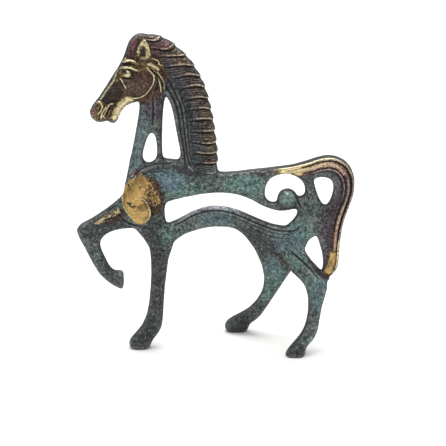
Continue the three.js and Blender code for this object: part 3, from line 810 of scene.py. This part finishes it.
# lifts the surface by the carved relief and by the unevenness of hand work and sand
def reliefTree():
    tree, source = newTree("raiseRelief", {
        "Fullness": "Float", "Handwork": "Float", "Handwork grain": "Float",
        "Pitting": "Float", "Pitting grain": "Float"})
    relief = addNode(tree, "GeometryNodeInputNamedAttribute", floatField, {"Name": "relief"})
    total = addNode(tree, "ShaderNodeMath", {"operation": "ADD"},
                    {0: relief.outputs[0], 1: source["Fullness"]})
    for height, grain, seed in (("Handwork", "Handwork grain", castingForm["handworkSeed"]),
                                ("Pitting", "Pitting grain", castingForm["pittingSeed"])):
        scale = addNode(tree, "ShaderNodeMath", {"operation": "DIVIDE"}, {0: 1.0, 1: source[grain]})
        noise = addNode(tree, "ShaderNodeTexNoise", {"noise_dimensions": "4D"},
                        {"Scale": scale.outputs[0], "W": seed, "Detail": 2.0})
        centred = addNode(tree, "ShaderNodeMath", {"operation": "SUBTRACT"},
                          {0: noise.outputs["Fac"], 1: 0.5})
        sized = addNode(tree, "ShaderNodeMath", {"operation": "MULTIPLY"},
                        {0: centred.outputs[0], 1: source[height]})
        total = addNode(tree, "ShaderNodeMath", {"operation": "ADD"},
                        {0: total.outputs[0], 1: sized.outputs[0]})
    normal = addNode(tree, "GeometryNodeInputNormal")
    push = addNode(tree, "ShaderNodeVectorMath", {"operation": "SCALE"},
                   {0: normal.outputs[0], "Scale": total.outputs[0]})
    moved = addNode(tree, "GeometryNodeSetPosition", None,
                    {"Geometry": source["Geometry"], "Offset": push.outputs[0]})
    endTree(tree, moved.outputs[0])
    return tree


# remembers what stands proud, where polish and wear reach, and what lies deep, where the patina stays dark
def wearTree():
    tree, source = newTree("findWear", {"Turns": "Int", "Depth": "Float"})
    place = addNode(tree, "GeometryNodeInputPosition")
    blurred = addNode(tree, "GeometryNodeBlurAttribute", {"data_type": "FLOAT_VECTOR"},
                      {"Value": place.outputs[0], "Iterations": source["Turns"]})
    offset = addNode(tree, "ShaderNodeVectorMath", {"operation": "SUBTRACT"},
                     {0: place.outputs[0], 1: blurred.outputs[0]})
    normal = addNode(tree, "GeometryNodeInputNormal")
    proud = addNode(tree, "ShaderNodeVectorMath", {"operation": "DOT_PRODUCT"},
                    {0: offset.outputs[0], 1: normal.outputs[0]})
    geometry = source["Geometry"]
    for name, sign in (("proud", 1.0), ("deep", -1.0)):
        signed = addNode(tree, "ShaderNodeMath", {"operation": "MULTIPLY"},
                         {0: proud.outputs["Value"], 1: sign})
        share = addNode(tree, "ShaderNodeMapRange", smoothStep,
                        {"Value": signed.outputs[0], "From Min": 0.0, "From Max": source["Depth"]})
        geometry = addNode(tree, "GeometryNodeStoreNamedAttribute", pointField,
                           {"Geometry": geometry, "Name": name, "Value": share.outputs[0]}).outputs[0]
    # rim: sides turned away from the front, darkened by their patina and by painted shade
    side = addNode(tree, "ShaderNodeSeparateXYZ", None, {0: normal.outputs[0]})
    facing = addNode(tree, "ShaderNodeMath", {"operation": "ABSOLUTE"}, {0: side.outputs["Y"]})
    low, high = castingForm["rimTurn"]
    rim = addNode(tree, "ShaderNodeMapRange", smoothStep, {
        "Value": facing.outputs[0], "From Min": low, "From Max": high, "To Min": 1.0, "To Max": 0.0})
    marked = addNode(tree, "GeometryNodeStoreNamedAttribute", pointField,
                     {"Geometry": geometry, "Name": "rim", "Value": rim.outputs[0]})
    endTree(tree, marked.outputs[0])
    return tree


# Cast bronze, patinated by hand: a dark sulphide ground, green and blue copper salts in cloudy patches,
# and places rubbed back to bare golden metal, which alone shine; a few stains also carry painted shade and
# light.
finish = {
    "ground": {"colours": ("#15191b", "#68736f"), "grain": 2.0, "metallic": 0.5, "roughness": 0.5},
    # laid one over another in this order; bite is how far noise eats into a stain, blend how softly it ends
    "stains": {
        "dark": {"colours": ("#131416", "#45484c"), "grain": 1.8, "metallic": 0.5, "roughness": 0.45},
        "verdigris": {"colours": ("#233a37", "#719089"), "grain": 1.7, "metallic": 0.15, "roughness": 0.65},
        # pale copper salts; on the top of the ball the same colour is painted light
        "saltAndPaintedLight": {"colours": ("#4d6e66", "#a4c6ba"), "grain": 1.5, "metallic": 0.0, "roughness": 0.7},
        "blue": {"colours": ("#364950", "#718b94"), "grain": 2.8, "metallic": 0.3, "roughness": 0.58,
                 "bite": 0.5, "blend": 1.0, "speckle": 0.8},
        "purple": {"colours": ("#1f181d", "#584853"), "grain": 1.8, "metallic": 0.5, "roughness": 0.45},
        "brown": {"colours": ("#1a130f", "#574334"), "grain": 1.6, "metallic": 0.7, "roughness": 0.42},
        "red": {"colours": ("#362427", "#855d59"), "grain": 1.6, "metallic": 0.7, "roughness": 0.42},
        "olive": {"colours": ("#2a2113", "#806e48"), "grain": 1.3, "metallic": 0.85, "roughness": 0.38},
        "rim": {"colours": ("#08080a", "#1e2022"), "grain": 1.6, "metallic": 0.0, "roughness": 0.65,
                "bite": 0.5, "blend": 1.2},      # the edges were never rubbed back, and painted shade darkens them where they turn away
        # pale grey; along the top of the belly band it is a painted sheen
        "pale": {"colours": ("#6d7478", "#b4b6be"), "grain": 1.4, "metallic": 0.5, "roughness": 0.45,
                 "bite": 0.4, "blend": 0.9},
        "copper": {"colours": ("#5e4036", "#dcb19b"), "grain": 1.1, "metallic": 0.9, "roughness": 0.36,
                   "speckle": 0.6},
        "gold": {"colours": ("#947641", "#c8a76c"), "grain": 1.6, "metallic": 1.0, "roughness": 0.3,
                 "bite": 0.55, "blend": 0.35, "speckle": 0.2},
        "brightGold": {"colours": ("#b0925a", "#f3e6ba"), "grain": 1.2, "metallic": 1.0, "roughness": 0.25,
                       "bite": 0.8, "blend": 0.5, "speckle": 0.2},
        "flecks": {"colours": ("#140d0a", "#46291f"), "grain": 0.7, "metallic": 0.4, "roughness": 0.5,
                   "bite": 2.2, "blend": 0.3},     # pits in the rubbed metal that kept their patina
        # dark patina kept in grooves and hollows, with painted shade laid into them; on the ball it is
        # painted shade only
        "creviceAndShade": {"colours": ("#0c0a09", "#262220"), "grain": 1.2, "metallic": 0.4, "roughness": 0.6,
                    "bite": 0.6, "blend": 0.9},
    },
    "bite": 1.4, "blend": 0.6,
    "tintGrain": 0.8,               # of a stain's own grain, for its lighter and darker places
    "cloudContrast": (0.36, 0.64),
    # fixed seeds: the first stain's, and the step from one stain to the next
    "groundSeed": 0.5, "biteSeeds": (3.1, 2.3), "tintSeeds": (11.4, 1.9),
    "wear": {"where": "proud", "colour": "#8f9493", "amount": 0.3},
    "deep": {"where": "deep", "colour": "#0d0c0c", "amount": 0.8},
    "mottle": {"amount": 1.5, "grain": 1.1, "seed": 6.6},       # salts' speckle, drawn about twice as coarse
    "tone": {"amount": 0.5, "grain": 9.0, "seed": 9.7},         # broad lighter and darker places
    # sand grain; the real one is finer and would not show
    "grainBump": 0.5, "grainSize": 0.5, "grainDepth": 0.1,
}


def patinatedBronze():
    material = bpy.data.materials.new("cast bronze patinated by hand")
    material.use_nodes = True
    tree = material.node_tree
    tree.nodes.clear()
    place = addNode(tree, "ShaderNodeTexCoord").outputs["Object"]
    blendColours = {"data_type": "RGBA"}        # sockets of a mix: share 0, colours 6 and 7, values 2 and 3

    def cloud(grain, seed, detail=5.0, roughness=0.7):
        noise = addNode(tree, "ShaderNodeTexNoise", {"noise_dimensions": "4D"}, {
            "Vector": place, "Scale": 1 / (grain * mm), "W": seed, "Detail": detail, "Roughness": roughness})
        low, high = finish["cloudContrast"]
        return addNode(tree, "ShaderNodeMapRange", None,
                       {"Value": noise.outputs["Fac"], "From Min": low, "From Max": high}).outputs[0]

    ground = finish["ground"]
    low, high = (toLinear(c) for c in ground["colours"])
    colour = addNode(tree, "ShaderNodeMix", blendColours,
                     {0: cloud(ground["grain"], finish["groundSeed"]), 6: low, 7: high}).outputs[2]
    held = {"metallic": ground["metallic"], "roughness": ground["roughness"], "speckle": 1.0}
    for index, (name, stain) in enumerate(finish["stains"].items()):
        bite, blend = stain.get("bite", finish["bite"]), stain.get("blend", finish["blend"])
        biteSeed, tintSeed = (finish[key][0] + finish[key][1] * index for key in ("biteSeeds", "tintSeeds"))
        painted = addNode(tree, "ShaderNodeAttribute", {"attribute_name": name}).outputs["Fac"]
        strong = addNode(tree, "ShaderNodeMath", {"operation": "MULTIPLY"}, {0: painted, 1: 1 + bite})
        eaten = addNode(tree, "ShaderNodeMath", {"operation": "MULTIPLY"},
                        {0: cloud(stain["grain"], biteSeed), 1: bite})
        left = addNode(tree, "ShaderNodeMath", {"operation": "SUBTRACT"},
                       {0: strong.outputs[0], 1: eaten.outputs[0]})
        share = addNode(tree, "ShaderNodeMapRange", None,
                        {"Value": left.outputs[0], "From Min": 0.0, "From Max": blend}).outputs[0]
        low, high = (toLinear(c) for c in stain["colours"])
        tint = addNode(tree, "ShaderNodeMix", blendColours,
                       {0: cloud(stain["grain"] * finish["tintGrain"], tintSeed), 6: low, 7: high}).outputs[2]
        colour = addNode(tree, "ShaderNodeMix", blendColours, {0: share, 6: colour, 7: tint}).outputs[2]
        for quality, value in held.items():
            held[quality] = addNode(tree, "ShaderNodeMix", {"data_type": "FLOAT"},
                                    {0: share, 2: value, 3: stain.get(quality, 1.0)}).outputs[0]

    for name in ("wear", "deep"):       # what stands proud is paler, what lies deep is darker
        read = addNode(tree, "ShaderNodeAttribute", {"attribute_name": finish[name]["where"]}).outputs["Fac"]
        share = addNode(tree, "ShaderNodeMath", {"operation": "MULTIPLY"},
                        {0: read, 1: finish[name]["amount"]})
        colour = addNode(tree, "ShaderNodeMix", blendColours,
                         {0: share.outputs[0], 6: colour, 7: toLinear(finish[name]["colour"])}).outputs[2]

    lights = []
    for name in ("mottle", "tone"):
        patches = cloud(finish[name]["grain"], finish[name]["seed"], 2.0)
        centred = addNode(tree, "ShaderNodeMath", {"operation": "SUBTRACT"}, {0: patches, 1: 0.5})
        sized = addNode(tree, "ShaderNodeMath", {"operation": "MULTIPLY"},
                        {0: centred.outputs[0], 1: finish[name]["amount"]})
        lights.append(sized.outputs[0])
    light = addNode(tree, "ShaderNodeMath", {"operation": "ADD"}, {0: lights[0], 1: lights[1]})
    kept = addNode(tree, "ShaderNodeMath", {"operation": "MULTIPLY"},
                   {0: light.outputs[0], 1: held["speckle"]})
    value = addNode(tree, "ShaderNodeMath", {"operation": "ADD"}, {0: kept.outputs[0], 1: 1.0})
    mottled = addNode(tree, "ShaderNodeHueSaturation", None, {"Value": value.outputs[0], "Color": colour})
    grain = addNode(tree, "ShaderNodeTexNoise", {"noise_dimensions": "3D"},
                    {"Vector": place, "Scale": 1 / (finish["grainSize"] * mm), "Detail": 3.0})
    bump = addNode(tree, "ShaderNodeBump", None, {
        "Height": grain.outputs["Fac"], "Strength": finish["grainBump"],
        "Distance": finish["grainDepth"] * mm})
    shader = addNode(tree, "ShaderNodeBsdfPrincipled", None, {
        "Base Color": mottled.outputs[0], "Metallic": held["metallic"], "Roughness": held["roughness"],
        "Normal": bump.outputs["Normal"]})
    addNode(tree, "ShaderNodeOutputMaterial", None, {"Surface": shader.outputs[0]})
    return material


bronze = patinatedBronze()


def horseCasting():
    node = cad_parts["horse"]
    mesh = node.data.copy()
    joined = bmesh.new()
    joined.from_mesh(mesh)
    bmesh.ops.remove_doubles(joined, verts=joined.verts, dist=castingForm["weld"] * mm)
    joined.to_mesh(mesh)
    joined.free()
    mesh.materials.clear()
    mesh.materials.append(bronze)
    rough = bpy.data.objects.new("roughCasting", mesh)
    scene.collection.objects.link(rough)

    remesh = rough.modifiers.new("surface", "REMESH")
    remesh.mode = "VOXEL"
    remesh.voxel_size = castingForm["voxel"] * mm

    def addTree(name, tree, values):
        modifier = rough.modifiers.new(name, "NODES")
        modifier.node_group = tree
        setInputs(modifier, values)

    helpers = []
    carveLines, paintAreas = strokeTree(False), strokeTree(True)
    crisp = strokeHelper("crispPlaces", crispPlaces, True)
    helpers.append(crisp)
    addTree("crisp", paintAreas, {
        "Strokes": crisp, "Height": 0.0, "Reach": mm, "Stain reach": castingForm["crispEdge"] * mm,
        "Stain": "crisp", "Amount": 1.0, "Wrap": 1.0})
    addTree("soften", softenTree(), {"Turns": castingForm["softenTurns"], "Crisp": castingForm["crisp"]})
    for name, area in areas.items():
        helper = strokeHelper(name, area["places"], True)
        helpers.append(helper)
        addTree(name, paintAreas, {
            "Strokes": helper, "Height": area.get("height", 0.0) * mm, "Reach": area["edge"] * mm,
            "Stain reach": area["edge"] * mm, "Stain": area["stain"], "Amount": area["amount"],
            "Wrap": float(not area.get("faceOnly"))})
    for name, settings in carvedLines.items():
        group = {**usualLine, **settings}
        few = castingForm["fewPlaces"]
        lines = [smoothLine(line) if len(line) < few else line for line in group["lines"]]
        helper = strokeHelper(name, lines, False, group["lift"], group["taper"],
                              max(group["width"], group["stainWidth"]) / 2)
        helpers.append(helper)
        addTree(name, carveLines, {
            "Strokes": helper, "Height": group["height"] * mm, "Reach": group["width"] / 2 * mm,
            "Stain reach": group["stainWidth"] / 2 * mm, "Stain": group["stain"],
            "Amount": group["amount"], "Wrap": float(group["wrap"])})
    addTree("relief", reliefTree(), {
        "Fullness": castingForm["fullness"] * mm,
        "Handwork": castingForm["handwork"] * mm, "Handwork grain": castingForm["handworkGrain"] * mm,
        "Pitting": castingForm["pitting"] * mm, "Pitting grain": castingForm["pittingGrain"] * mm})
    addTree("wear", wearTree(), {"Turns": castingForm["wearTurns"], "Depth": castingForm["wearDepth"] * mm})
    print("casting: %d finishes and %d groups of carved lines" % (len(areas), len(carvedLines)))

    seen = rough.evaluated_get(bpy.context.evaluated_depsgraph_get())
    fine = bpy.data.meshes.new_from_object(seen)
    fine.calc_loop_triangles()
    count = len(fine.loop_triangles)
    print("casting: sculpted with %d triangles" % count)
    for helper in helpers:
        bpy.data.objects.remove(helper)
    bpy.data.objects.remove(rough)

    sculpted = bpy.data.objects.new("sculpted", fine)
    scene.collection.objects.link(sculpted)
    if count > castingForm["triangles"]:
        thin = sculpted.modifiers.new("fewer", "DECIMATE")
        thin.ratio = castingForm["triangles"] / count
    seen = sculpted.evaluated_get(bpy.context.evaluated_depsgraph_get())
    final = bpy.data.meshes.new_from_object(seen)
    bpy.data.objects.remove(sculpted)
    for name in ("relief", "crisp"):
        final.attributes.remove(final.attributes[name])
    low, high = cadBox
    for vertex in final.vertices:       # nothing outside the solid's box
        vertex.co = [min(max(vertex.co[i], low[i]), high[i]) for i in range(3)]
    for face in final.polygons:
        face.use_smooth = True
    piece = bpy.data.objects.new("horse_casting", final)
    scene.collection.objects.link(piece)
    final.calc_loop_triangles()
    print("casting: kept %d triangles" % len(final.loop_triangles))
    return piece


casting = horseCasting()
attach(casting, "root")
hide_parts("horse")


studio = {
    "floorHex": "#dcdcda", "floorRoughness": 0.9, "floorGloss": 0.1,
    "floorRadius": 60.0,                                        # this one is in metres
    "skyHex": "#ffffff", "skyLow": 0.2, "skyHigh": 1.35,        # a big soft lamp overhead in a dim room
    "skyTop": 0.9, "horizon": -0.01,        # the heights where its light is full, and where the floor's is
    # angles in degrees; the lamp's tilt is from overhead, minus from behind, and then its turn
    "sunStrength": 2.6, "sunAngle": 60, "sunTurn": (-6, 12),
    "target": (4.5, 0, 67.5), "elevation": 16, "distance": 720, "lens": 110, "sensor": 36,
}


def makeStage():
    shape = bmesh.new()
    bmesh.ops.create_circle(shape, cap_ends=True, segments=64, radius=studio["floorRadius"])
    mesh = bpy.data.meshes.new("floor")
    shape.to_mesh(mesh)
    shape.free()
    floor = bpy.data.objects.new("floor", mesh)
    scene.collection.objects.link(floor)
    paper = bpy.data.materials.new("matt studio paper")     # even and without gloss
    paper.use_nodes = True
    shader = paper.node_tree.nodes["Principled BSDF"]
    shader.inputs["Base Color"].default_value = toLinear(studio["floorHex"])
    shader.inputs["Roughness"].default_value = studio["floorRoughness"]
    shader.inputs["Specular IOR Level"].default_value = studio["floorGloss"]
    mesh.materials.append(paper)

    world = bpy.data.worlds.new("studio")
    world.use_nodes = True
    background = world.node_tree.nodes["Background"]
    background.inputs["Color"].default_value = toLinear(studio["skyHex"])
    direction = addNode(world.node_tree, "ShaderNodeTexCoord").outputs["Generated"]
    height = addNode(world.node_tree, "ShaderNodeSeparateXYZ", None, {0: direction}).outputs["Z"]
    glow = addNode(world.node_tree, "ShaderNodeMapRange", smoothStep, {
        "Value": height, "From Min": 0.0, "From Max": studio["skyTop"],
        "To Min": studio["skyLow"], "To Max": studio["skyHigh"]})
    # below the horizon, past the floor's edge, as bright as the floor
    under = addNode(world.node_tree, "ShaderNodeMapRange", None, {
        "Value": height, "From Min": studio["horizon"], "From Max": 0.0, "To Min": 1.0, "To Max": 0.0})
    sky = addNode(world.node_tree, "ShaderNodeMath", {"operation": "MAXIMUM"},
                  {0: glow.outputs[0], 1: under.outputs[0]})
    world.node_tree.links.new(sky.outputs[0], background.inputs["Strength"])
    scene.world = world

    lamp = bpy.data.lights.new("softbox", "SUN")
    lamp.energy = studio["sunStrength"]
    lamp.angle = math.radians(studio["sunAngle"])
    softbox = bpy.data.objects.new("softbox", lamp)
    tilt, turn = (math.radians(a) for a in studio["sunTurn"])
    softbox.rotation_euler = (tilt, 0, turn)
    scene.collection.objects.link(softbox)

    view = bpy.data.cameras.new("camera")
    view.lens = studio["lens"]
    view.sensor_width = studio["sensor"]
    view.clip_start = 0.01
    view.clip_end = 50
    camera = bpy.data.objects.new("camera", view)
    angle = math.radians(studio["elevation"])
    back = Vector((0, -math.cos(angle), math.sin(angle)))
    camera.location = (Vector(studio["target"]) + back * studio["distance"]) * mm
    camera.rotation_euler = (-back).to_track_quat("-Z", "Y").to_euler()
    scene.collection.objects.link(camera)
    scene.camera = camera
    scene.view_settings.view_transform = "Standard"
    print("stage: floor, sky, softbox and camera")


makeStage()
